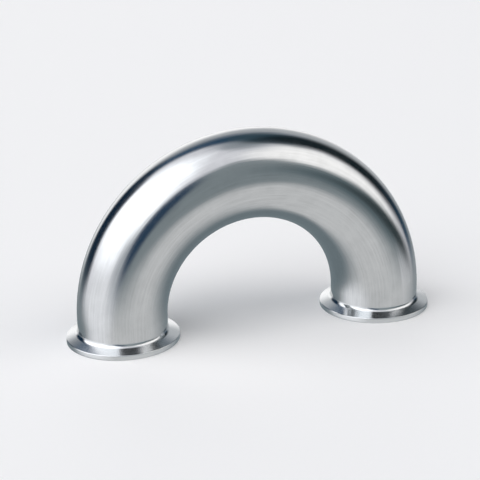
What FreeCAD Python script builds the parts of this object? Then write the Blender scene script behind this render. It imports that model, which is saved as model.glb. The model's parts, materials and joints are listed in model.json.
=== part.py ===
"""Clamp U-bend: a 180 degree return bend for sanitary tubing, with a clamp ferrule welded to each end.

The fitting stands on the faces of its two ferrules. The origin is midway between the ports, on the plane
of their faces. +X runs from the left port to the right port, +Y goes through the arch and +Z is up.

It is made of three pieces of stainless steel: one length of tube bent through a half turn, and two turned
ferrules, butt-welded to the ends of the tube and ground flush. The bore is the same size all the way.
"""

import FreeCAD, Part
import math
import os

import Sketcher
from FreeCAD import Vector

# Driving dimensions, in millimetres and degrees: alias, value and meaning.
SIZES = [
    ("tube_diameter", 50.8, "outside diameter of the tube, a nominal two inch"),
    ("wall_thickness", 1.65, "wall of the tube and of the ferrule's neck"),
    ("bend_radius", 76.2, "radius of the bend at the tube's centre line"),
    ("ferrule_length", 12.7, "from the ferrule's face to the weld"),
    ("flange_diameter", 64.0, "outside diameter of the clamp flange"),
    ("rim_thickness", 2.85, "straight part of the flange's edge"),
    ("clamp_slope", 20.0, "angle between the flange's back and its face, in degrees"),
    ("root_radius", 2.5, "hollow fillet between the flange's back and the neck"),
    ("rim_radius", 0.4, "rounding of the flange's two outer edges"),
    ("groove_diameter", 56.5, "gasket groove, across its middle"),
    ("groove_width", 4.0, "gasket groove, at the face"),
    ("groove_depth", 1.6, "gasket groove, below the face"),
]

# The ports, and the side of the origin that each is on.
PORTS = [("ferrule_left", -1), ("ferrule_right", 1)]

HALF_TURN = 180.0
FULL_TURN = 360.0
EDGE_TOLERANCE = 1e-4

# How a sketch numbers its own axis and origin, and the points of a line or a circle.
HORIZONTAL_AXIS = -1
ORIGIN_POINT = (-1, 1)
START, END, CENTRE = 1, 2, 3

# The root fillet takes at most this share of the straight back that the flange leaves for it.
ROOT_SHARE = 0.9

# Sizes that follow from the sheet's.
TUBE_RADIUS = "Sizes.tube_diameter / 2"
BORE_RADIUS = "Sizes.tube_diameter / 2 - Sizes.wall_thickness"
OVERHANG = "(Sizes.flange_diameter - Sizes.tube_diameter) / 2"
SLOPE_RISE = f"{OVERHANG} * tan(Sizes.clamp_slope * 1 deg)"
BACK_LENGTH = f"{OVERHANG} / cos(Sizes.clamp_slope * 1 deg)"
ROOT_ROOM = f"{BACK_LENGTH} / tan(45 deg - Sizes.clamp_slope / 2 * 1 deg) - Sizes.rim_radius"
GROOVE_CUTTER = "((Sizes.groove_width / 2) ^ 2 + Sizes.groove_depth ^ 2) / (2 * Sizes.groove_depth)"


def make_sheet(doc):
    """The spreadsheet that holds the driving dimensions."""
    sheet = doc.addObject("Spreadsheet::Sheet", "Sizes")
    for row, (alias, value, meaning) in enumerate(SIZES, start=1):
        sheet.set(f"A{row}", meaning)
        sheet.set(f"B{row}", str(value))
        sheet.setAlias(f"B{row}", alias)
    doc.recompute()
    return sheet


def origin_feature(body, role):
    """One of the body's own origin planes or axes."""
    return next(f for f in body.Origin.OriginFeatures if f.Role == role)


def new_body(doc, name):
    """An empty body whose label names its file."""
    body = doc.addObject("PartDesign::Body", name)
    body.Label = name
    return body


def new_sketch(body, name, role):
    """A sketch on one of the body's origin planes."""
    sketch = body.newObject("Sketcher::SketchObject", name)
    sketch.AttachmentSupport = [(origin_feature(body, role), "")]
    sketch.MapMode = "FlatFace"
    return sketch


def constrain(sketch, name, expression, kind, *where):
    """A named dimension of the sketch, bound to the sheet."""
    index = sketch.addConstraint(Sketcher.Constraint(kind, *where, 1.0))
    sketch.renameConstraint(index, name)
    sketch.setExpression(f"Constraints.{name}", expression)


def draw_loop(sketch, corners):
    """A closed outline of straight lines, joined at its corners."""
    count = len(corners)
    for k, start in enumerate(corners):
        sketch.addGeometry(Part.LineSegment(start, corners[(k + 1) % count]), False)
    for k in range(count):
        sketch.addConstraint(Sketcher.Constraint("Coincident", k, END, (k + 1) % count, START))


def turn(body, kind, name, sketch, axis, angle):
    """A Revolution or a Groove of the sketch about one of its own axes."""
    feature = body.newObject(f"PartDesign::{kind}", name)
    feature.Profile = sketch
    feature.ReferenceAxis = (sketch, [axis])
    feature.Angle = angle
    return feature


def ring_edges(shape, rings):
    """The names of the round edges that have these radii and heights."""
    found = []
    for number, edge in enumerate(shape.Edges, start=1):
        if not isinstance(edge.Curve, Part.Circle):
            continue
        for radius, height in rings:
            same_radius = abs(edge.Curve.Radius - radius) < EDGE_TOLERANCE
            same_height = abs(edge.Curve.Center.z - height) < EDGE_TOLERANCE
            if same_radius and same_height:
                found.append(f"Edge{number}")
    if len(found) != len(rings):
        raise RuntimeError(f"{len(rings)} round edges wanted, {len(found)} found")
    return found


def round_edges(body, name, base, rings, expression):
    """A fillet on the round edges of base that have these radii and heights."""
    fillet = body.newObject("PartDesign::Fillet", name)
    fillet.Base = (base, ring_edges(base.Shape, rings))
    fillet.setExpression("Radius", expression)
    return fillet


def make_bend(doc, sheet):
    """The tube: a ring-shaped section turned half round the axis of the bend."""
    body = new_body(doc, "bend_tube")
    body.setExpression("Placement.Base.z", "Sizes.ferrule_length")

    section = new_sketch(body, "tube_section", "XY_Plane")
    centre = Vector(-sheet.bend_radius, 0, 0)
    outside = sheet.tube_diameter / 2
    section.addGeometry(Part.Circle(centre, Vector(0, 0, 1), outside), False)
    section.addGeometry(Part.Circle(centre, Vector(0, 0, 1), outside - sheet.wall_thickness), False)
    section.addConstraint(Sketcher.Constraint("Coincident", 0, CENTRE, 1, CENTRE))
    section.addConstraint(Sketcher.Constraint("PointOnObject", 0, CENTRE, HORIZONTAL_AXIS))
    constrain(section, "centre_line", "Sizes.bend_radius", "DistanceX", 0, CENTRE, *ORIGIN_POINT)
    constrain(section, "outer_radius", TUBE_RADIUS, "Radius", 0)
    constrain(section, "bore_radius", BORE_RADIUS, "Radius", 1)

    turn(body, "Revolution", "half_turn", section, "V_Axis", HALF_TURN)
    doc.recompute()
    return body


def turn_blank(doc, body, corners):
    """The ferrule before it is rounded and grooved: flange, sloped back and neck round an open bore."""
    profile = new_sketch(body, f"{body.Name}_profile", "XZ_Plane")
    draw_loop(profile, corners)
    face, rim, back, neck_wall, weld_face, bore_wall = range(len(corners))
    for line in (face, weld_face):
        profile.addConstraint(Sketcher.Constraint("Horizontal", line))
    for line in (rim, neck_wall, bore_wall):
        profile.addConstraint(Sketcher.Constraint("Vertical", line))
    profile.addConstraint(Sketcher.Constraint("PointOnObject", face, START, HORIZONTAL_AXIS))
    flange_radius = "Sizes.flange_diameter / 2"
    constrain(profile, "bore_radius", BORE_RADIUS, "DistanceX", *ORIGIN_POINT, face, START)
    constrain(profile, "flange_radius", flange_radius, "DistanceX", *ORIGIN_POINT, face, END)
    constrain(profile, "neck_radius", TUBE_RADIUS, "DistanceX", *ORIGIN_POINT, neck_wall, START)
    constrain(profile, "rim", "Sizes.rim_thickness", "DistanceY", rim, START, rim, END)
    constrain(profile, "slope_rise", SLOPE_RISE, "DistanceY", back, START, back, END)
    constrain(profile, "length", "Sizes.ferrule_length", "DistanceY", bore_wall, END, bore_wall, START)

    blank = turn(body, "Revolution", f"{body.Name}_blank", profile, "V_Axis", FULL_TURN)
    doc.recompute()
    return blank


def cut_groove(doc, body, sheet, uncut):
    """The gasket groove: a shallow round-bottomed channel turned into the face."""
    cutter = new_sketch(body, f"{body.Name}_groove_section", "XZ_Plane")
    half_width = sheet.groove_width / 2
    radius = (half_width**2 + sheet.groove_depth**2) / (2 * sheet.groove_depth)
    centre = Vector(sheet.groove_diameter / 2, sheet.groove_depth - radius, 0)
    cutter.addGeometry(Part.Circle(centre, Vector(0, 0, 1), radius), False)
    below_face = f"{GROOVE_CUTTER} - Sizes.groove_depth"
    pitch_radius = "Sizes.groove_diameter / 2"
    constrain(cutter, "cutter_radius", GROOVE_CUTTER, "Radius", 0)
    constrain(cutter, "pitch_radius", pitch_radius, "DistanceX", *ORIGIN_POINT, 0, CENTRE)
    constrain(cutter, "below_face", below_face, "DistanceY", 0, CENTRE, *ORIGIN_POINT)
    groove = turn(body, "Groove", f"{body.Name}_gasket_groove", cutter, "V_Axis", FULL_TURN)
    doc.recompute()
    if groove.Shape.Volume >= uncut.Shape.Volume:
        raise RuntimeError(f"{body.Name}: the gasket groove cut nothing")


def make_ferrule(doc, sheet, name, side):
    """A ferrule: a turned ring with a clamp flange, a neck as wide as the tube and a gasket groove."""
    body = new_body(doc, name)
    body.setExpression("Placement.Base.x", f"{side} * Sizes.bend_radius")

    neck = sheet.tube_diameter / 2
    bore = neck - sheet.wall_thickness
    flange = sheet.flange_diameter / 2
    root_height = sheet.rim_thickness + (flange - neck) * math.tan(math.radians(sheet.clamp_slope))
    blank = turn_blank(doc, body, [
        Vector(bore, 0, 0),
        Vector(flange, 0, 0),
        Vector(flange, sheet.rim_thickness, 0),
        Vector(neck, root_height, 0),
        Vector(neck, sheet.ferrule_length, 0),
        Vector(bore, sheet.ferrule_length, 0),
    ])

    root_radius = f"min(Sizes.root_radius; {ROOT_SHARE} * ({ROOT_ROOM}))"
    root = round_edges(body, f"{name}_root", blank, [(neck, root_height)], root_radius)
    doc.recompute()
    rim_rings = [(flange, 0.0), (flange, sheet.rim_thickness)]
    rounded = round_edges(body, f"{name}_rim", root, rim_rings, "Sizes.rim_radius")
    doc.recompute()
    cut_groove(doc, body, sheet, rounded)
    return body


def check(doc, bodies):
    """Every object has to be sound before anything is written."""
    for item in doc.Objects:
        if "Invalid" in item.State or "Error" in item.State:
            raise RuntimeError(f"{item.Name} failed: {item.State}")
    for body in bodies:
        if body.Shape.isNull() or not body.Shape.isValid() or len(body.Shape.Solids) != 1:
            raise RuntimeError(f"{body.Label} is not one sound solid")


def main():
    doc = FreeCAD.newDocument("clamp_u_bend")
    sheet = make_sheet(doc)
    bodies = [make_bend(doc, sheet)]
    for name, side in PORTS:
        bodies.append(make_ferrule(doc, sheet, name, side))
    doc.recompute()
    check(doc, bodies)
    os.makedirs("parts", exist_ok=True)
    for body in bodies:
        body.Shape.exportStep(f"parts/{body.Label}.step")
        box = body.Shape.optimalBoundingBox(False)
        size = f"{box.XLength:.2f} x {box.YLength:.2f} x {box.ZLength:.2f} mm"
        print(f"{body.Label}: {size}, {body.Shape.Volume:.1f} mm3, z {box.ZMin:.2f} to {box.ZMax:.2f}")


main()
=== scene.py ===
"""Clamp U-bend: the look of a belt-polished tube bend with a turned clamp ferrule welded to each end.

Every length is in metres and every place is in the part's own frame. The origin is midway between the
two ports on the plane of their faces, +X runs from the left port to the right one, and +Z is up.
"""

import json
import math

import bpy
from bpy.props import FloatProperty, FloatVectorProperty, IntProperty, PointerProperty
from mathutils import Matrix, Vector


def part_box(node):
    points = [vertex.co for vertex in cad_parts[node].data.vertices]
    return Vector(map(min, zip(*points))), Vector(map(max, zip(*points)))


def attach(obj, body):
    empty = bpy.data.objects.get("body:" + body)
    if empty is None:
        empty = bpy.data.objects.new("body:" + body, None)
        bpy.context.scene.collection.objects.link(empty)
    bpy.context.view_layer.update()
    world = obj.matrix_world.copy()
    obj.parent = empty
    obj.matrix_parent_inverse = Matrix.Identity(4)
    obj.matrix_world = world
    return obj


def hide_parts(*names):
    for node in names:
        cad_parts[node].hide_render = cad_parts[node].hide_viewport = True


bl_info = {
    "name": "Clamp U-bend",
    "version": (1, 0, 0),
    "blender": (4, 5, 0),
    "location": "3D View > Sidebar > U-bend",
    "description": "Makes the tube, the two ferrules and the studio of a sanitary clamp U-bend",
    "category": "Object",
}

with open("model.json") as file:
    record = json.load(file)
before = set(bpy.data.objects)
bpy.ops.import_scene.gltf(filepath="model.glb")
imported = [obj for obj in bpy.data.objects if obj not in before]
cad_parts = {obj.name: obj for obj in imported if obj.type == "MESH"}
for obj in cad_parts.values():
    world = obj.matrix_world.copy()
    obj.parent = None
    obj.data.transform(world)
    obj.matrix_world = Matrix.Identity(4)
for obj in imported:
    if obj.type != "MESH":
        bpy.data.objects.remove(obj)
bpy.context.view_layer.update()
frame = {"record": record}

MM = 0.001

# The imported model's own sizes, from the boxes of its nodes and the mounts of its record.
mounts = {mount["name"]: mount for mount in frame["record"]["mounts"]}
rim_mount = mounts["port_right_rim"]
bore_mount = mounts["port_right_bore"]
BEND_RADIUS = rim_mount["pos_m"][0]
TUBE_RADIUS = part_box("bend_tube")[1].x - BEND_RADIUS
BORE_RADIUS = bore_mount["dims"]["r_mm"] * MM
FLANGE_RADIUS = rim_mount["dims"]["r_mm"] * MM
RIM_THICKNESS = rim_mount["dims"]["length_mm"] * MM
FERRULE_LENGTH = bore_mount["dims"]["length_mm"] * MM

# The ferrules' nodes, and the side of the origin that each is on.
PORTS = [("ferrule_left", -1), ("ferrule_right", 1)]

# Names of what the trees write on the meshes, for their own later steps and for the materials.
ALONG = "along"
ACROSS = "across"
UNBENT = "unbent"
TURNED = "turned"
CORNER = "corner_radius"

# The colour inputs and the colour output of a Mix node, whose names its other sockets share.
MIX_FIRST = 6
MIX_SECOND = 7
MIXED = 2

SHARP_ANGLE = math.radians(30)
MERGE_DISTANCE = 1e-6
# How far outside the bore's radius a face still counts as the bore's.
BORE_MARGIN = 0.05 * MM

# The belt-polished finish: its grain, and the low waves that the belt leaves in the tube.
GRAIN_LENGTH = 30 * MM
GRAIN_WIDTH = 0.9 * MM
GRAIN_DEPTH = 0.02 * MM
WAVE_LENGTH = 45 * MM
WAVE_WIDTH = 9 * MM
WAVE_DEPTH = 0.1 * MM
BLOTCH_SIZE = 9 * MM
# How far the roughness swings with the blotches and with the grain, about the finish's own value.
BLOTCH_SPREAD = 0.1
GRAIN_SPREAD = 0.12
# The lightest and the darkest steel in the grain, against the finish's own colour.
LIGHT_STREAK = 1.13
DARK_STREAK = 0.74

# The lathe-turned finish: the rings of the feed, and light scuffs over them.
FEED = 0.5 * MM
FEED_DEPTH = 0.006 * MM
FEED_SPREAD = 0.08
SCUFF_SIZE = 6 * MM
SCUFF_SPREAD = 0.08
TURNED_TONE = 1.22

# The ground finish of the bore: its haze, and its roughness where that is least and most.
HAZE_SIZE = 8 * MM
CLEAR_BORE = 0.26
HAZY_BORE = 0.38

# The floor: its edge, and a fibre that shows only as a faint change of tone.
FLOOR_STEPS = 96
FIBRE_SIZE = 2 * MM
FIBRE_TONE = 0.985

# The camera's film width in millimetres, and how far it sees in metres.
SENSOR_WIDTH = 36.0
CLIP_END = 20.0


def linear(code):
    """The linear colour of an sRGB hex code such as 'c8ccd0'."""
    channels = [int(code[k:k + 2], 16) / 255 for k in (0, 2, 4)]
    return tuple(c / 12.92 if c <= 0.04045 else ((c + 0.055) / 1.055) ** 2.4 for c in channels)


def rgba(colour, strength=1.0):
    """A linear colour as a colour socket takes it."""
    return (*(strength * c for c in colour), 1.0)


def add_node(tree, kind, settings=None, inputs=None):
    """A node of this kind, with its settings, and a value, a link or a list of links for each input."""
    node = tree.nodes.new(kind)
    for name, value in (settings or {}).items():
        setattr(node, name, value)
    for key, value in (inputs or {}).items():
        for item in value if isinstance(value, list) else [value]:
            if isinstance(item, bpy.types.Node):
                item = next(socket for socket in item.outputs if socket.enabled)
            if isinstance(item, bpy.types.NodeSocket):
                tree.links.new(item, node.inputs[key])
            else:
                node.inputs[key].default_value = item
    return node


def emptied(owner):
    """The node tree of a new material or world, with nothing in it."""
    owner.use_nodes = True
    owner.node_tree.nodes.clear()
    return owner.node_tree


def belt_polished_stainless(finish):
    """Stainless tube, belt-polished along its length after bending.

    The belt leaves a fine grain that runs with the tube, so reflections are clear but soft-edged, with
    faint streaks along the bend. The real scratches are about 0.05 mm wide, and are drawn 0.9 mm wide
    to show.
    """
    material = bpy.data.materials.new("belt_polished_stainless")
    tree = emptied(material)
    along = add_node(tree, "ShaderNodeAttribute", {"attribute_name": UNBENT})
    grain_at = add_node(tree, "ShaderNodeMapping", None, {
        "Vector": along.outputs["Vector"],
        "Scale": (1 / GRAIN_LENGTH, 1 / GRAIN_WIDTH, 1 / GRAIN_WIDTH),
    })
    grain = add_node(tree, "ShaderNodeTexNoise", None, {
        "Vector": grain_at, "Scale": 1.0, "Detail": 3.0,
    })
    place = add_node(tree, "ShaderNodeTexCoord")
    blotches = add_node(tree, "ShaderNodeTexNoise", None, {
        "Vector": place.outputs["Object"], "Scale": 1 / BLOTCH_SIZE, "Detail": 4.0, "Roughness": 0.6,
    })
    blotchy = add_node(tree, "ShaderNodeMapRange", None, {
        "Value": blotches.outputs["Fac"],
        "To Min": finish.satin_roughness - (BLOTCH_SPREAD + GRAIN_SPREAD) / 2,
        "To Max": finish.satin_roughness + (BLOTCH_SPREAD - GRAIN_SPREAD) / 2,
    })
    roughness = add_node(tree, "ShaderNodeMath", {"operation": "MULTIPLY_ADD"}, {
        0: grain.outputs["Fac"], 1: GRAIN_SPREAD, 2: blotchy,
    })
    waves_at = add_node(tree, "ShaderNodeMapping", None, {
        "Vector": along.outputs["Vector"],
        "Scale": (1 / WAVE_LENGTH, 1 / WAVE_WIDTH, 1 / WAVE_WIDTH),
    })
    waves = add_node(tree, "ShaderNodeTexNoise", None, {
        "Vector": waves_at, "Scale": 1.0, "Detail": 1.0,
    })
    belt_waves = add_node(tree, "ShaderNodeBump", None, {
        "Strength": 1.0, "Distance": WAVE_DEPTH, "Height": waves.outputs["Fac"],
    })
    scratches = add_node(tree, "ShaderNodeBump", None, {
        "Strength": 1.0, "Distance": GRAIN_DEPTH, "Height": grain.outputs["Fac"], "Normal": belt_waves,
    })
    streaky = add_node(tree, "ShaderNodeMath", {"operation": "MULTIPLY"}, {
        0: blotches.outputs["Fac"], 1: grain.outputs["Fac"],
    })
    tone = add_node(tree, "ShaderNodeMix", {"data_type": "RGBA"}, {
        "Factor": streaky,
        MIX_FIRST: rgba(finish.steel, LIGHT_STREAK),
        MIX_SECOND: rgba(finish.steel, DARK_STREAK),
    })
    shader = add_node(tree, "ShaderNodeBsdfPrincipled", None, {
        "Base Color": tone.outputs[MIXED],
        "Metallic": 1.0,
        "Roughness": roughness,
        "Normal": scratches,
    })
    add_node(tree, "ShaderNodeOutputMaterial", None, {"Surface": shader})
    return material


def lathe_turned_stainless(finish):
    """Stainless flange, finish-turned on a lathe.

    The tool leaves rings round the axis, so a reflection is drawn out across the rings and stays clear
    along them. The real feed is about 0.1 mm a turn, and is drawn at 0.5 mm to show.
    """
    material = bpy.data.materials.new("lathe_turned_stainless")
    tree = emptied(material)
    turned = add_node(tree, "ShaderNodeAttribute", {"attribute_name": TURNED})
    feed = add_node(tree, "ShaderNodeTexNoise", {"noise_dimensions": "1D"}, {
        "W": turned.outputs["Fac"], "Scale": 1 / FEED, "Detail": 2.0,
    })
    place = add_node(tree, "ShaderNodeTexCoord")
    scuffs = add_node(tree, "ShaderNodeTexNoise", None, {
        "Vector": place.outputs["Object"], "Scale": 1 / SCUFF_SIZE, "Detail": 3.0,
    })
    scuffed = add_node(tree, "ShaderNodeMapRange", None, {
        "Value": scuffs.outputs["Fac"],
        "To Min": finish.turned_roughness - (SCUFF_SPREAD + FEED_SPREAD) / 2,
        "To Max": finish.turned_roughness + (SCUFF_SPREAD - FEED_SPREAD) / 2,
    })
    roughness = add_node(tree, "ShaderNodeMath", {"operation": "MULTIPLY_ADD"}, {
        0: feed.outputs["Fac"], 1: FEED_SPREAD, 2: scuffed,
    })
    tool_marks = add_node(tree, "ShaderNodeBump", None, {
        "Strength": 1.0, "Distance": FEED_DEPTH, "Height": feed.outputs["Fac"],
    })
    round_axis = add_node(tree, "ShaderNodeTangent", {"direction_type": "RADIAL", "axis": "Z"})
    shader = add_node(tree, "ShaderNodeBsdfPrincipled", None, {
        "Base Color": rgba(finish.steel, TURNED_TONE),
        "Metallic": 1.0,
        "Roughness": roughness,
        "Anisotropic": 0.9,
        "Anisotropic Rotation": 0.25,
        "Tangent": round_axis,
        "Normal": tool_marks,
    })
    add_node(tree, "ShaderNodeOutputMaterial", None, {"Surface": shader})
    return material


def polished_bore(finish):
    """Stainless bore, ground to an even hygienic finish, with a soft haze that has no direction."""
    material = bpy.data.materials.new("polished_bore")
    tree = emptied(material)
    place = add_node(tree, "ShaderNodeTexCoord")
    haze = add_node(tree, "ShaderNodeTexNoise", None, {
        "Vector": place.outputs["Object"], "Scale": 1 / HAZE_SIZE, "Detail": 4.0,
    })
    roughness = add_node(tree, "ShaderNodeMapRange", None, {
        "Value": haze.outputs["Fac"], "To Min": CLEAR_BORE, "To Max": HAZY_BORE,
    })
    shader = add_node(tree, "ShaderNodeBsdfPrincipled", None, {
        "Base Color": rgba(finish.steel),
        "Metallic": 1.0,
        "Roughness": roughness,
    })
    add_node(tree, "ShaderNodeOutputMaterial", None, {"Surface": shader})
    return material


def tree_with_inputs(name, sockets):
    """A geometry tree with these named inputs, and the sockets that give them inside it."""
    tree = bpy.data.node_groups.new(name, "GeometryNodeTree")
    tree.interface.new_socket(name="Geometry", in_out="INPUT", socket_type="NodeSocketGeometry")
    for label, kind in sockets:
        tree.interface.new_socket(name=label, in_out="INPUT", socket_type=f"NodeSocket{kind}")
    tree.interface.new_socket(name="Geometry", in_out="OUTPUT", socket_type="NodeSocketGeometry")
    return tree, add_node(tree, "NodeGroupInput").outputs


def smooth_and_realize(tree, geometry):
    """The same shape with its doubles merged, smooth between its sharp corners, and no instances."""
    closed = add_node(tree, "GeometryNodeMergeByDistance", None, {
        "Geometry": geometry, "Distance": MERGE_DISTANCE,
    })
    smooth = add_node(tree, "GeometryNodeSetShadeSmooth", None, {
        "Geometry": closed, "Shade Smooth": True,
    })
    angle = add_node(tree, "GeometryNodeInputMeshEdgeAngle")
    corner = add_node(tree, "FunctionNodeCompare", None, {"A": angle, "B": SHARP_ANGLE})
    sharp = add_node(tree, "GeometryNodeSetShadeSmooth", {"domain": "EDGE"}, {
        "Geometry": smooth, "Selection": corner, "Shade Smooth": False,
    })
    return add_node(tree, "GeometryNodeRealizeInstances", None, {"Geometry": sharp})


def bend_tree():
    """A tree that sweeps two rings round a full circle, keeps the upper half and closes its ends."""
    tree, given = tree_with_inputs("bend_a_tube", [
        ("Bend Radius", "Float"),
        ("Tube Radius", "Float"),
        ("Bore Radius", "Float"),
        ("Weld Height", "Float"),
        ("Steps Along", "Int"),
        ("Steps Around", "Int"),
        ("Outside", "Material"),
        ("Inside", "Material"),
    ])
    steps_round = add_node(tree, "ShaderNodeMath", {"operation": "MULTIPLY"}, {
        0: given["Steps Along"], 1: 2.0,
    })
    circle = add_node(tree, "GeometryNodeCurvePrimitiveCircle", {"mode": "RADIUS"}, {
        "Resolution": steps_round, "Radius": given["Bend Radius"],
    })
    length = add_node(tree, "GeometryNodeSplineParameter").outputs["Length"]
    path = add_node(tree, "GeometryNodeStoreNamedAttribute", None, {
        "Geometry": circle, "Name": ALONG, "Value": length,
    })
    lift = add_node(tree, "ShaderNodeCombineXYZ", None, {"Z": given["Weld Height"]})
    rings = []
    walls = []
    for radius in (given["Tube Radius"], given["Bore Radius"]):
        ring = add_node(tree, "GeometryNodeCurvePrimitiveCircle", {"mode": "RADIUS"}, {
            "Resolution": given["Steps Around"], "Radius": radius,
        })
        marked = add_node(tree, "GeometryNodeStoreNamedAttribute", {"data_type": "FLOAT_VECTOR"}, {
            "Geometry": ring, "Name": ACROSS, "Value": add_node(tree, "GeometryNodeInputPosition"),
        })
        wall = add_node(tree, "GeometryNodeCurveToMesh", None, {"Curve": path, "Profile Curve": marked})
        rings.append(marked)
        walls.append(wall)
    walls[1] = add_node(tree, "GeometryNodeFlipFaces", None, {"Mesh": walls[1]})
    swept = add_node(tree, "GeometryNodeJoinGeometry", None, {"Geometry": walls})
    height = add_node(tree, "ShaderNodeSeparateXYZ", None, {
        "Vector": add_node(tree, "GeometryNodeInputPosition"),
    }).outputs["Y"]
    lower = add_node(tree, "FunctionNodeCompare", {"operation": "LESS_THAN"}, {"A": height, "B": 0.0})
    half = add_node(tree, "GeometryNodeDeleteGeometry", {"domain": "FACE"}, {
        "Geometry": swept, "Selection": lower,
    })
    upright = add_node(tree, "GeometryNodeTransform", None, {
        "Geometry": half, "Translation": lift, "Rotation": (math.pi / 2, 0.0, 0.0),
    })
    end_rings = add_node(tree, "GeometryNodeJoinGeometry", None, {"Geometry": rings})
    end_face = add_node(tree, "GeometryNodeFillCurve", None, {"Curve": end_rings})
    facing_down = add_node(tree, "GeometryNodeFlipFaces", None, {"Mesh": end_face})
    ends = []
    for side, turn in ((-1, math.pi), (1, 0.0)):
        outward = add_node(tree, "ShaderNodeVectorMath", {"operation": "MULTIPLY"}, {
            0: add_node(tree, "GeometryNodeInputPosition"), 1: (side, 1.0, 1.0),
        })
        marked = add_node(tree, "GeometryNodeStoreNamedAttribute", {"data_type": "FLOAT_VECTOR"}, {
            "Geometry": facing_down, "Name": ACROSS, "Value": outward,
        })
        reached = add_node(tree, "ShaderNodeMath", {"operation": "MULTIPLY"}, {
            0: given["Bend Radius"], 1: turn,
        })
        measured = add_node(tree, "GeometryNodeStoreNamedAttribute", None, {
            "Geometry": marked, "Name": ALONG, "Value": reached,
        })
        offset = add_node(tree, "ShaderNodeMath", {"operation": "MULTIPLY"}, {
            0: given["Bend Radius"], 1: side,
        })
        place = add_node(tree, "ShaderNodeCombineXYZ", None, {"X": offset, "Z": given["Weld Height"]})
        ends.append(add_node(tree, "GeometryNodeTransform", None, {
            "Geometry": measured, "Translation": place,
        }))
    whole = add_node(tree, "GeometryNodeJoinGeometry", None, {"Geometry": [upright, *ends]})
    solid = smooth_and_realize(tree, whole)

    # Each point's place as if the tube were straight: along it, and across it two ways.
    across = add_node(tree, "GeometryNodeInputNamedAttribute", {"data_type": "FLOAT_VECTOR"}, {
        "Name": ACROSS,
    })
    along = add_node(tree, "GeometryNodeInputNamedAttribute", None, {"Name": ALONG})
    split = add_node(tree, "ShaderNodeSeparateXYZ", None, {"Vector": across})
    straight = add_node(tree, "ShaderNodeCombineXYZ", None, {
        "X": along, "Y": split.outputs["X"], "Z": split.outputs["Y"],
    })
    marked = add_node(tree, "GeometryNodeStoreNamedAttribute", {"data_type": "FLOAT_VECTOR"}, {
        "Geometry": solid, "Name": UNBENT, "Value": straight,
    })
    outside = add_node(tree, "GeometryNodeSetMaterial", None, {
        "Geometry": marked, "Material": given["Outside"],
    })
    radius = add_node(tree, "ShaderNodeVectorMath", {"operation": "LENGTH"}, {0: across})
    limit = add_node(tree, "ShaderNodeMath", {"operation": "ADD"}, {
        0: given["Bore Radius"], 1: BORE_MARGIN,
    })
    inner = add_node(tree, "FunctionNodeCompare", {"operation": "LESS_THAN"}, {"A": radius, "B": limit})
    finished = add_node(tree, "GeometryNodeSetMaterial", None, {
        "Geometry": outside, "Selection": inner, "Material": given["Inside"],
    })
    add_node(tree, "NodeGroupOutput", None, {"Geometry": finished})
    return tree


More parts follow.
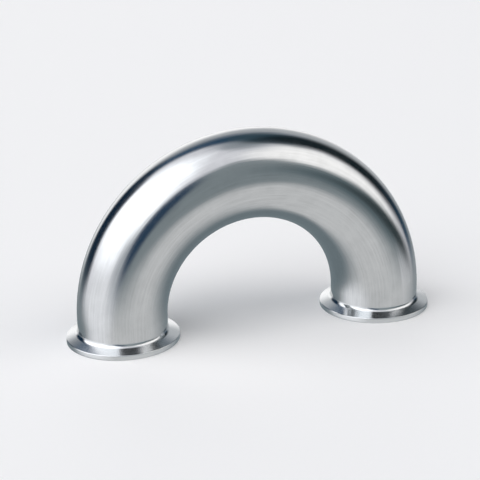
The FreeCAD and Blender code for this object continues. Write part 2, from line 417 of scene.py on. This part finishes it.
def turning_tree():
    """A tree that rounds the corners of a section and turns it round the port's axis."""
    tree, given = tree_with_inputs("turn_a_ferrule", [
        ("Port Centre", "Vector"),
        ("Turning Radius", "Float"),
        ("Bore Radius", "Float"),
        ("Satin Height", "Float"),
        ("Weld Height", "Float"),
        ("Unbent Start", "Float"),
        ("Side", "Float"),
        ("Steps Around", "Int"),
        ("Steps Per Corner", "Int"),
        ("Turned", "Material"),
        ("Satin", "Material"),
        ("Bore", "Material"),
    ])
    outline = add_node(tree, "GeometryNodeMeshToCurve", None, {"Mesh": given["Geometry"]})
    corner_radius = add_node(tree, "GeometryNodeInputNamedAttribute", None, {"Name": CORNER})
    rounded = add_node(tree, "GeometryNodeFilletCurve", {"mode": "POLY"}, {
        "Curve": outline,
        "Count": given["Steps Per Corner"],
        "Radius": corner_radius,
        "Limit Radius": True,
    })
    length = add_node(tree, "GeometryNodeSplineParameter").outputs["Length"]
    section = add_node(tree, "GeometryNodeStoreNamedAttribute", None, {
        "Geometry": rounded, "Name": TURNED, "Value": length,
    })
    circle = add_node(tree, "GeometryNodeCurvePrimitiveCircle", {"mode": "RADIUS"}, {
        "Resolution": given["Steps Around"], "Radius": given["Turning Radius"],
    })
    turned = add_node(tree, "GeometryNodeCurveToMesh", None, {
        "Curve": circle, "Profile Curve": section,
    })
    outwards = add_node(tree, "GeometryNodeFlipFaces", None, {"Mesh": turned})
    placed = add_node(tree, "GeometryNodeTransform", None, {
        "Geometry": outwards, "Translation": given["Port Centre"],
    })
    solid = smooth_and_realize(tree, placed)

    position = add_node(tree, "GeometryNodeInputPosition")
    offset = add_node(tree, "ShaderNodeVectorMath", {"operation": "SUBTRACT"}, {
        0: position, 1: given["Port Centre"],
    })
    local = add_node(tree, "ShaderNodeSeparateXYZ", None, {"Vector": offset})
    flat = add_node(tree, "ShaderNodeCombineXYZ", None, {
        "X": local.outputs["X"], "Y": local.outputs["Y"],
    })
    radius = add_node(tree, "ShaderNodeVectorMath", {"operation": "LENGTH"}, {0: flat})
    above = add_node(tree, "FunctionNodeCompare", None, {
        "A": local.outputs["Z"], "B": given["Satin Height"],
    })
    limit = add_node(tree, "ShaderNodeMath", {"operation": "ADD"}, {
        0: given["Bore Radius"], 1: BORE_MARGIN,
    })
    in_bore = add_node(tree, "FunctionNodeCompare", {"operation": "LESS_THAN"}, {
        "A": radius, "B": limit,
    })

    # The neck's grain carries on from the tube's, which is laid out from the right port to the left one.
    below = add_node(tree, "ShaderNodeMath", {"operation": "SUBTRACT"}, {
        0: local.outputs["Z"], 1: given["Weld Height"],
    })
    along = add_node(tree, "ShaderNodeMath", {"operation": "MULTIPLY_ADD"}, {
        0: below, 1: given["Side"], 2: given["Unbent Start"],
    })
    outward = add_node(tree, "ShaderNodeMath", {"operation": "MULTIPLY"}, {
        0: local.outputs["X"], 1: given["Side"],
    })
    straight = add_node(tree, "ShaderNodeCombineXYZ", None, {
        "X": along, "Y": outward, "Z": local.outputs["Y"],
    })
    marked = add_node(tree, "GeometryNodeStoreNamedAttribute", {"data_type": "FLOAT_VECTOR"}, {
        "Geometry": solid, "Name": UNBENT, "Value": straight,
    })
    flange = add_node(tree, "GeometryNodeSetMaterial", None, {
        "Geometry": marked, "Material": given["Turned"],
    })
    neck = add_node(tree, "GeometryNodeSetMaterial", None, {
        "Geometry": flange, "Selection": above, "Material": given["Satin"],
    })
    bored = add_node(tree, "GeometryNodeSetMaterial", None, {
        "Geometry": neck, "Selection": in_bore, "Material": given["Bore"],
    })
    add_node(tree, "NodeGroupOutput", None, {"Geometry": bored})
    return tree


def plain_mesh(name, base, tree, values):
    """The mesh that a tree makes of a base mesh, with nothing live left on it."""
    source = bpy.data.objects.new(name, base)
    bpy.context.scene.collection.objects.link(source)
    modifier = source.modifiers.new(name, "NODES")
    modifier.node_group = tree
    for socket in tree.interface.items_tree:
        if socket.in_out == "INPUT" and socket.name in values:
            modifier[socket.identifier] = values[socket.name]
    depsgraph = bpy.context.evaluated_depsgraph_get()
    mesh = bpy.data.meshes.new_from_object(
        source.evaluated_get(depsgraph), preserve_all_data_layers=True, depsgraph=depsgraph)
    bpy.data.objects.remove(source)
    # Setting a mesh's first material leaves an empty slot before it, which no face uses.
    if mesh.materials[0] is None:
        mesh.materials.pop(index=0)
    mesh.name = name
    return mesh


def add_piece(name, mesh, node):
    """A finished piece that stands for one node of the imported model."""
    piece = bpy.data.objects.new(name, mesh)
    bpy.context.scene.collection.objects.link(piece)
    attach(piece, "root")
    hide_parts(node)
    return piece


def run(start, end, steps):
    """Points along a straight run of the section, without its end."""
    points = []
    for k in range(steps):
        radius = start[0] + (end[0] - start[0]) * k / steps
        height = start[1] + (end[1] - start[1]) * k / steps
        points.append((radius, height, 0.0))
    return points


def ferrule_section(sizes):
    """The ferrule's section as (distance from the axis, height, corner radius), from the bore out."""
    bore = sizes.bore_radius
    neck = sizes.tube_radius
    flange = sizes.flange_radius
    root_height = sizes.rim_thickness + (flange - neck) * math.tan(sizes.clamp_slope)
    half_width = sizes.groove_width / 2
    cutter = (half_width**2 + sizes.groove_depth**2) / (2 * sizes.groove_depth)
    centre_height = sizes.groove_depth - cutter
    half_angle = math.acos(-centre_height / cutter)
    groove = []
    for k in range(sizes.groove_steps + 1):
        angle = math.pi / 2 + half_angle * (1 - 2 * k / sizes.groove_steps)
        radius = sizes.groove_radius + cutter * math.cos(angle)
        height = centre_height + cutter * math.sin(angle)
        groove.append((radius, height, 0.0))
    section = [(bore, 0.0, 0.0)]
    section += groove
    section.append((flange, 0.0, sizes.rim_radius))
    section.append((flange, sizes.rim_thickness, sizes.rim_radius))
    section.append((neck, root_height, sizes.root_radius))
    section += run((neck, sizes.satin_height), (neck, sizes.ferrule_length), sizes.neck_steps)
    section.append((neck, sizes.ferrule_length, 0.0))
    section.append((bore, sizes.ferrule_length, 0.0))
    return section


def section_mesh(section, turning_radius):
    """The section as a closed wire, as the sweep takes it: X away from the axis and Y down it."""
    mesh = bpy.data.meshes.new("ferrule_section")
    points = [(radius - turning_radius, -height, 0.0) for radius, height, corner in section]
    count = len(points)
    mesh.from_pydata(points, [(k, (k + 1) % count) for k in range(count)], [])
    corners = mesh.attributes.new(CORNER, "FLOAT", "POINT")
    corners.data.foreach_set("value", [corner for radius, height, corner in section])
    return mesh


def add_card(tree, direction, colour, card):
    """The studio's colour in each direction, with one more soft-edged card in front of what it had."""
    name, shape, azimuth, half_width, elevation, half_height, tilt, softness, code, strength = card
    apart = add_node(tree, "ShaderNodeVectorMath", {"operation": "SUBTRACT"}, {
        0: direction, 1: (math.radians(azimuth), math.radians(elevation), 0.0),
    })
    nearest = add_node(tree, "ShaderNodeVectorMath", {"operation": "WRAP"}, {
        0: apart, 1: (math.pi, math.tau, 1.0), 2: (-math.pi, -math.tau, -1.0),
    })
    in_card = add_node(tree, "ShaderNodeMapping", {"vector_type": "TEXTURE"}, {
        "Vector": nearest,
        "Rotation": (0.0, 0.0, math.radians(tilt)),
        "Scale": (math.radians(half_width), math.radians(half_height), 1.0),
    })
    one_side = add_node(tree, "ShaderNodeVectorMath", {"operation": "ABSOLUTE"}, {0: in_card})
    powers = add_node(tree, "ShaderNodeVectorMath", {"operation": "POWER"}, {
        0: one_side, 1: (shape, shape, shape),
    })
    both = add_node(tree, "ShaderNodeVectorMath", {"operation": "DOT_PRODUCT"}, {
        0: powers, 1: (1.0, 1.0, 0.0),
    })
    reach = add_node(tree, "ShaderNodeMath", {"operation": "POWER"}, {0: both, 1: 1 / shape})
    edge = softness / min(half_width, half_height)
    inside = add_node(tree, "ShaderNodeMapRange", {"interpolation_type": "SMOOTHSTEP"}, {
        "Value": reach, "From Min": 1 - edge, "From Max": 1 + edge, "To Min": 1.0, "To Max": 0.0,
    })
    mixed = add_node(tree, "ShaderNodeMix", {"data_type": "RGBA", "label": name}, {
        "Factor": inside, MIX_FIRST: colour, MIX_SECOND: rgba(linear(code), strength),
    })
    return mixed.outputs[MIXED]


# How square a card is: 2 is an oval, more is nearer a box and less is nearer a diamond.
GABLE = 1.6
OVAL = 2.0
PILLOW = 3.0
BOX = 5.0

# What stands round the part in the studio, each card in front of the ones before it.
# Azimuth 0 is at the camera's side (-Y) and 90 is at the right (+X).
# Each row: name, shape, azimuth, half width, elevation, half height, tilt, softness, colour, brightness.
# The angles are in degrees, and a tilt lifts the card's end at the greater azimuth.
STUDIO_CARDS = [
    ("left softbox", PILLOW, -80, 55, 43, 36, 0, 11, "fdfdff", 2.0),
    ("right softbox", BOX, 56, 35, 32, 33, 0, 13, "fdf9f6", 1.55),
    ("right ceiling", OVAL, 115, 78, 82, 18, 0, 8, "a9afb5", 1.0),
    ("dark frame", OVAL, 165, 62, 0, 71, 0, 5, "224a68", 1.0),
    ("right frame top", OVAL, 128, 42, 58, 17, 0, 5, "3a525f", 1.0),
    ("right gap", BOX, 115, 20, 34, 36, -4, 9, "102026", 1.0),
    ("back wall", PILLOW, 165, 38, -4, 47, 0, 9, "c9cbcd", 1.0),
    ("back wall glow", OVAL, 176, 28, -4, 25, 0, 9, "fdfbfa", 1.4),
    ("left gap", BOX, -142, 18, 14, 26, 16, 5, "00233a", 1.0),
    ("camera side", GABLE, 10, 50, -5, 55, 0, 4, "949da0", 1.0),
    ("right shade", OVAL, 51, 32, 6, 15, -27, 7, "66757a", 1.0),
    ("floor", BOX, 0, 400, -60, 45, 0, 9, "e9e8e7", 1.0),
    # Painted shadow: the floor that the steel mirrors is darker behind and under the arch, where the arch
    # shades it.
    ("floor behind", OVAL, 178, 110, -50, 42, 0, 16, "7f8b90", 1.0),
    # Painted light: the floor that the steel mirrors is brighter at the left, as if the near left softbox
    # lit it.
    ("left floor glow", OVAL, -78, 38, -12, 17, 0, 8, "fcfbfd", 1.2),
    ("left shade", OVAL, -43, 13, 3, 17, 0, 9, "cfd2d6", 1.0),
    ("right floor edge", OVAL, 68, 29, 0, 7, -23, 4, "354144", 1.0),
    ("left floor edge", OVAL, -23, 11, 17, 26, -28, 4, "1e3e5a", 1.0),
]
# The gap over the camera, which the flanges' backs pick up from what the necks mirror.
CAMERA_GAP = ("camera gap", BOX, 13, 44, 60, 42, 0, 3, "0a1010", 1.0)
# The colour and the brightness of the studio where there is no card.
STUDIO_WALLS = ("f4f2f6", 1.15)
# Between the glossy depths of light that the steel has mirrored once and twice.
ONCE_OR_TWICE = 1.5


def make_studio(stage):
    """The studio light: soft cards round the part, and a plain pale backdrop for the camera alone."""
    world = bpy.data.worlds.new("studio")
    tree = emptied(world)
    ray = add_node(tree, "ShaderNodeTexCoord").outputs["Generated"]
    axes = add_node(tree, "ShaderNodeSeparateXYZ", None, {"Vector": ray})
    towards_camera = add_node(tree, "ShaderNodeMath", {"operation": "MULTIPLY"}, {
        0: axes.outputs["Y"], 1: -1.0,
    })
    azimuth = add_node(tree, "ShaderNodeMath", {"operation": "ARCTAN2"}, {
        0: axes.outputs["X"], 1: towards_camera,
    })
    elevation = add_node(tree, "ShaderNodeMath", {"operation": "ARCSINE"}, {0: axes.outputs["Z"]})
    direction = add_node(tree, "ShaderNodeCombineXYZ", None, {"X": azimuth, "Y": elevation})
    code, strength = STUDIO_WALLS
    colour = rgba(linear(code), strength)
    for card in STUDIO_CARDS:
        colour = add_card(tree, direction, colour, card)
    path = add_node(tree, "ShaderNodeLightPath")
    mirrored_twice = add_node(tree, "ShaderNodeMath", {"operation": "GREATER_THAN"}, {
        0: path.outputs["Glossy Depth"], 1: ONCE_OR_TWICE,
    })
    mirrored = add_node(tree, "ShaderNodeMix", {"data_type": "RGBA"}, {
        "Factor": mirrored_twice,
        MIX_FIRST: colour,
        MIX_SECOND: add_card(tree, direction, colour, CAMERA_GAP),
    })
    seen = add_node(tree, "ShaderNodeMix", {"data_type": "RGBA"}, {
        "Factor": path.outputs["Is Camera Ray"],
        MIX_FIRST: mirrored.outputs[MIXED],
        MIX_SECOND: rgba(stage.backdrop),
    })
    light = add_node(tree, "ShaderNodeBackground", None, {
        "Color": seen.outputs[MIXED], "Strength": stage.brightness,
    })
    add_node(tree, "ShaderNodeOutputWorld", None, {"Surface": light})
    bpy.context.scene.world = world


def make_floor(stage):
    """A plain pale round floor of white laminate, pressed to a matt and even face.

    The steel doesn't mirror it, because the studio's own floor cards stand in for it.
    """
    material = bpy.data.materials.new("white_laminate")
    tree = emptied(material)
    place = add_node(tree, "ShaderNodeTexCoord")
    fibre = add_node(tree, "ShaderNodeTexNoise", None, {
        "Vector": place.outputs["Object"], "Scale": 1 / FIBRE_SIZE, "Detail": 2.0,
    })
    tone = add_node(tree, "ShaderNodeMix", {"data_type": "RGBA"}, {
        "Factor": fibre.outputs["Fac"],
        MIX_FIRST: rgba(stage.paper),
        MIX_SECOND: rgba(stage.paper, FIBRE_TONE),
    })
    shader = add_node(tree, "ShaderNodeBsdfPrincipled", None, {
        "Base Color": tone.outputs[MIXED], "Roughness": 0.6, "Specular IOR Level": 0.2,
    })
    add_node(tree, "ShaderNodeOutputMaterial", None, {"Surface": shader})
    mesh = bpy.data.meshes.new("floor")
    angles = [math.tau * k / FLOOR_STEPS for k in range(FLOOR_STEPS)]
    radius = stage.floor_radius
    edge = [(radius * math.cos(angle), radius * math.sin(angle), 0.0) for angle in angles]
    mesh.from_pydata(edge, [], [tuple(range(FLOOR_STEPS))])
    mesh.materials.append(material)
    floor = bpy.data.objects.new("floor", mesh)
    floor.visible_glossy = False
    floor.visible_shadow = False
    bpy.context.scene.collection.objects.link(floor)


def make_camera(stage):
    """The photograph's camera: it looks down at the arch from a little to the left."""
    azimuth = stage.azimuth
    elevation = stage.elevation
    back = Vector((
        math.sin(azimuth) * math.cos(elevation),
        -math.cos(azimuth) * math.cos(elevation),
        math.sin(elevation),
    ))
    right = (-back).cross(Vector((0.0, 0.0, 1.0))).normalized()
    up = right.cross(-back)
    turned_right = right * math.cos(stage.roll) + up * math.sin(stage.roll)
    turned_up = up * math.cos(stage.roll) - right * math.sin(stage.roll)
    place = Matrix((turned_right, turned_up, back)).transposed().to_4x4()
    place.translation = Vector(stage.target) + back * stage.distance
    data = bpy.data.cameras.new("camera")
    data.lens = stage.lens
    data.sensor_width = SENSOR_WIDTH
    data.clip_end = CLIP_END
    camera = bpy.data.objects.new("camera", data)
    camera.matrix_world = place
    bpy.context.scene.collection.objects.link(camera)
    bpy.context.scene.camera = camera


def length_property(name, description, default):
    """A length that a user may change."""
    return FloatProperty(name=name, description=description, default=default, min=0.0,
                         subtype="DISTANCE", unit="LENGTH", precision=5)


def angle_property(name, description, degrees):
    """An angle that a user may change."""
    return FloatProperty(name=name, description=description, default=math.radians(degrees),
                         subtype="ANGLE", unit="ROTATION")


def colour_property(name, description, code):
    """A colour that a user may change, given as an sRGB hex code."""
    return FloatVectorProperty(name=name, description=description, default=linear(code),
                               size=3, min=0.0, max=1.0, subtype="COLOR")


def count_property(name, description, default, least):
    """A number of faces that a user may change."""
    return IntProperty(name=name, description=description, default=default, min=least)


def share_property(name, description, default):
    """A share from 0 to 1 that a user may change."""
    return FloatProperty(name=name, description=description, default=default,
                         min=0.0, max=1.0, subtype="FACTOR")


class UBendSizes(bpy.types.PropertyGroup):
    """The sizes of the tube and the ferrules."""
    bend_radius: length_property("Bend radius", "Radius of the tube's centre line", BEND_RADIUS)
    tube_radius: length_property("Tube radius", "Outside radius of the tube", TUBE_RADIUS)
    bore_radius: length_property("Bore radius", "Inside radius of the tube and the ferrules", BORE_RADIUS)
    ferrule_length: length_property("Ferrule length", "From the face to the weld", FERRULE_LENGTH)
    flange_radius: length_property("Flange radius", "Outside radius of the clamp flange", FLANGE_RADIUS)
    rim_thickness: length_property("Rim thickness", "Straight part of the flange's edge", RIM_THICKNESS)
    clamp_slope: angle_property("Clamp slope", "Angle of the flange's back to its face", 20.0)
    root_radius: length_property("Root radius", "Hollow fillet under the neck", 2.5 * MM)
    rim_radius: length_property("Rim rounding", "Rounding of the flange's edges", 0.4 * MM)
    groove_radius: length_property("Groove radius", "Gasket groove, to its middle", 28.25 * MM)
    groove_width: length_property("Groove width", "Gasket groove, at the face", 4.0 * MM)
    groove_depth: length_property("Groove depth", "Gasket groove, below the face", 1.6 * MM)
    satin_height: length_property("Satin height", "From the face to the belt-polished neck", 7.02 * MM)
    steps_along: count_property("Steps along", "Faces along the bend", 288, 8)
    steps_around: count_property("Steps around", "Faces round the tube and the ferrules", 160, 8)
    corner_steps: count_property("Steps per corner", "Faces across a rounding", 12, 1)
    groove_steps: count_property("Groove steps", "Faces across the groove", 18, 4)
    neck_steps: count_property("Neck steps", "Faces up the neck", 6, 1)


class UBendFinish(bpy.types.PropertyGroup):
    """The finish of the steel."""
    steel: colour_property("Steel", "Colour of the bare steel", "c3c6c8")
    satin_roughness: share_property("Satin roughness", "Of the belt-polished tube and necks", 0.16)
    turned_roughness: share_property("Turned roughness", "Of the flanges' turned faces", 0.2)


class UBendStage(bpy.types.PropertyGroup):
    """The floor, the light and the camera."""
    paper: colour_property("Paper", "Colour of the floor", "f9f9f9")
    backdrop: colour_property("Backdrop", "Colour behind the part", "f8f8f9")
    brightness: FloatProperty(name="Brightness", description="Of the whole studio", default=1.0, min=0.0)
    floor_radius: length_property("Floor radius", "Radius of the round floor", 4.0)
    azimuth: angle_property("Azimuth", "Of the camera, from the part's front towards its right", -16.954)
    elevation: angle_property("Elevation", "Of the camera above the floor's plane", 19.157)
    roll: angle_property("Roll", "Of the camera about its own axis", -1.226)
    distance: length_property("Distance", "From the camera to the point it looks at", 734.875 * MM)
    target: FloatVectorProperty(name="Target", description="The point that the camera looks at",
                                default=(-6.207 * MM, 0.0, 49.742 * MM),
                                size=3, subtype="XYZ", unit="LENGTH")
    lens: FloatProperty(name="Lens", description="Focal length in millimetres", default=97.11, min=1.0)


class UBEND_OT_bend_tube(bpy.types.Operator):
    """Bend the tube through its half turn and give it its belt-polished finish"""
    bl_idname = "ubend.bend_tube"
    bl_label = "Bend the Tube"

    def execute(self, context):
        sizes = context.scene.u_bend_sizes
        mesh = plain_mesh("tube_bend", bpy.data.meshes.new("empty"), bend_tree(), {
            "Bend Radius": sizes.bend_radius,
            "Tube Radius": sizes.tube_radius,
            "Bore Radius": sizes.bore_radius,
            "Weld Height": sizes.ferrule_length,
            "Steps Along": sizes.steps_along,
            "Steps Around": sizes.steps_around,
            "Outside": finish_of(context, "belt_polished_stainless"),
            "Inside": finish_of(context, "polished_bore"),
        })
        add_piece("tube_bend", mesh, "bend_tube")
        return {"FINISHED"}


class UBEND_OT_turn_ferrules(bpy.types.Operator):
    """Turn the two clamp ferrules and set them under the ends of the tube"""
    bl_idname = "ubend.turn_ferrules"
    bl_label = "Turn the Ferrules"

    def execute(self, context):
        sizes = context.scene.u_bend_sizes
        tree = turning_tree()
        turning_radius = (sizes.bore_radius + sizes.flange_radius) / 2
        for node, side in PORTS:
            section = section_mesh(ferrule_section(sizes), turning_radius)
            name = f"turned_{node}"
            mesh = plain_mesh(name, section, tree, {
                "Port Centre": (side * sizes.bend_radius, 0.0, 0.0),
                "Turning Radius": turning_radius,
                "Bore Radius": sizes.bore_radius,
                "Satin Height": sizes.satin_height,
                "Weld Height": sizes.ferrule_length,
                "Unbent Start": 0.0 if side > 0 else math.pi * sizes.bend_radius,
                "Side": float(side),
                "Steps Around": sizes.steps_around,
                "Steps Per Corner": sizes.corner_steps,
                "Turned": finish_of(context, "lathe_turned_stainless"),
                "Satin": finish_of(context, "belt_polished_stainless"),
                "Bore": finish_of(context, "polished_bore"),
            })
            add_piece(name, mesh, node)
        return {"FINISHED"}


class UBEND_OT_set_stage(bpy.types.Operator):
    """Lay the floor, light the studio and set up the camera"""
    bl_idname = "ubend.set_stage"
    bl_label = "Set the Stage"

    def execute(self, context):
        stage = context.scene.u_bend_stage
        make_floor(stage)
        make_studio(stage)
        make_camera(stage)
        context.scene.view_settings.view_transform = "Standard"
        return {"FINISHED"}


class UBEND_PT_panel(bpy.types.Panel):
    """The sidebar panel that lists the steps and the values they use"""
    bl_idname = "UBEND_PT_panel"
    bl_label = "Clamp U-bend"
    bl_space_type = "VIEW_3D"
    bl_region_type = "UI"
    bl_category = "U-bend"

    def draw(self, context):
        for values, steps in (
            (context.scene.u_bend_sizes, (UBEND_OT_bend_tube, UBEND_OT_turn_ferrules)),
            (context.scene.u_bend_finish, ()),
            (context.scene.u_bend_stage, (UBEND_OT_set_stage,)),
        ):
            box = self.layout.box()
            for name in values.__annotations__:
                box.prop(values, name)
            for step in steps:
                box.operator(step.bl_idname)


FINISHES = {
    "belt_polished_stainless": belt_polished_stainless,
    "lathe_turned_stainless": lathe_turned_stainless,
    "polished_bore": polished_bore,
}


def finish_of(context, name):
    """The material of that name, made when it is first asked for."""
    return bpy.data.materials.get(name) or FINISHES[name](context.scene.u_bend_finish)


CLASSES = (
    UBendSizes, UBendFinish, UBendStage,
    UBEND_OT_bend_tube, UBEND_OT_turn_ferrules, UBEND_OT_set_stage, UBEND_PT_panel,
)


def register():
    for cls in CLASSES:
        bpy.utils.register_class(cls)
    bpy.types.Scene.u_bend_sizes = PointerProperty(type=UBendSizes)
    bpy.types.Scene.u_bend_finish = PointerProperty(type=UBendFinish)
    bpy.types.Scene.u_bend_stage = PointerProperty(type=UBendStage)


def unregister():
    for name in ("u_bend_sizes", "u_bend_finish", "u_bend_stage"):
        delattr(bpy.types.Scene, name)
    for cls in reversed(CLASSES):
        bpy.utils.unregister_class(cls)


def main():
    register()
    bpy.ops.ubend.set_stage()
    bpy.ops.ubend.bend_tube()
    bpy.ops.ubend.turn_ferrules()


if __name__ == "__main__":
    main()
